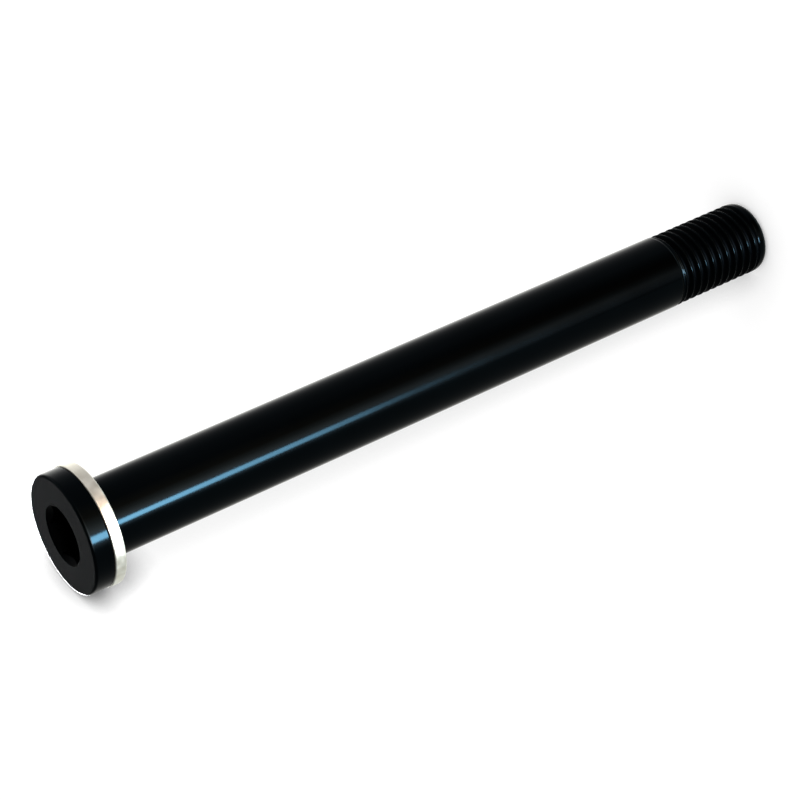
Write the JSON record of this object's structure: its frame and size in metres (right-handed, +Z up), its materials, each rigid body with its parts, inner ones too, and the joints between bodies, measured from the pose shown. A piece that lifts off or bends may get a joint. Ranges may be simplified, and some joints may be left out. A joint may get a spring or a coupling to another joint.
{
  "type": "bicycle thru axle",
  "caption": "Front bicycle thru axle: a black shaft in one piece with a flat head, a hexagon socket and a fine thread at the far end, and a silver washer under the head.",
  "frame": {"origin": "on the centreline, in the plane of the washer's seat, the face that bears on the fork", "axes": "+Z is up and runs along the centreline from the tip, on which the axle stands, to the head. It is the line the wheel spins about, and the axle is pushed in along -Z"},
  "size_m": [0.019, 0.019, 0.13],
  "materials": {
    "anodised": "turned, anodised black, satin",
    "bare_steel": "turned stainless steel, bare"
  },
  "bodies": {
    "axle": {"axle": "anodised"},
    "washer": {"washer": "bare_steel"}
  },
  "joints": [
    {"name": "washer_spin", "type": "hinge", "parent": "axle", "child": "washer", "pos_m": [0, 0, 0.0009], "axis": [0, 0, 1], "continuous": true}
  ]
}
